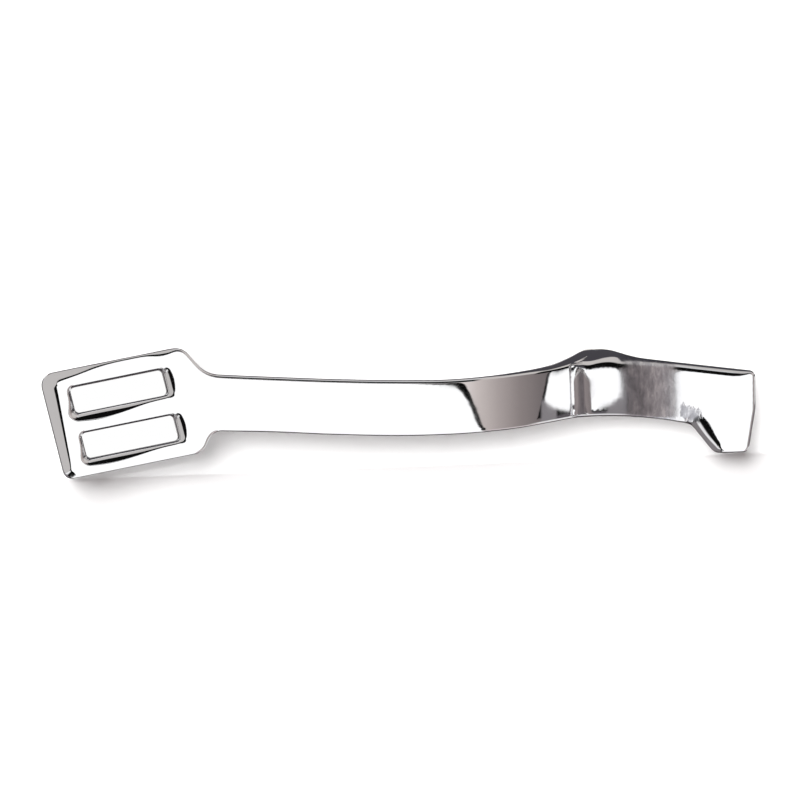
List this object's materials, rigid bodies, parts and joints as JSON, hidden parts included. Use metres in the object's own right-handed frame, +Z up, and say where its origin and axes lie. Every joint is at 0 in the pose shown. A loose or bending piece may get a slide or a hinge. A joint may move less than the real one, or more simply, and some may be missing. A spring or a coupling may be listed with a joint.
{
  "type": "riding spur",
  "caption": "Polished steel riding spur: U-shaped heel band with slotted strap ends and a short, flat-sided neck with a dropped square end.",
  "frame": {"origin": "heel seat: inside of the band at the back of the heel, on the plane of symmetry, at the middle of the band's height", "axes": "+X back along the neck, away from the boot; +Y to the rider's right; +Z up"},
  "size_m": [0.1137, 0.0728, 0.0201],
  "materials": {
    "polished_steel": "mirror-polished stainless steel",
    "polished_steel_neck": "mirror-polished stainless steel with faint casting texture in the hollows",
    "rivet_steel": "steel ground flush and lightly polished"
  },
  "bodies": {
    "root": {"heel_band": "polished_steel", "neck": "polished_steel_neck", "neck_rivet": "rivet_steel"}
  },
  "joints": []
}
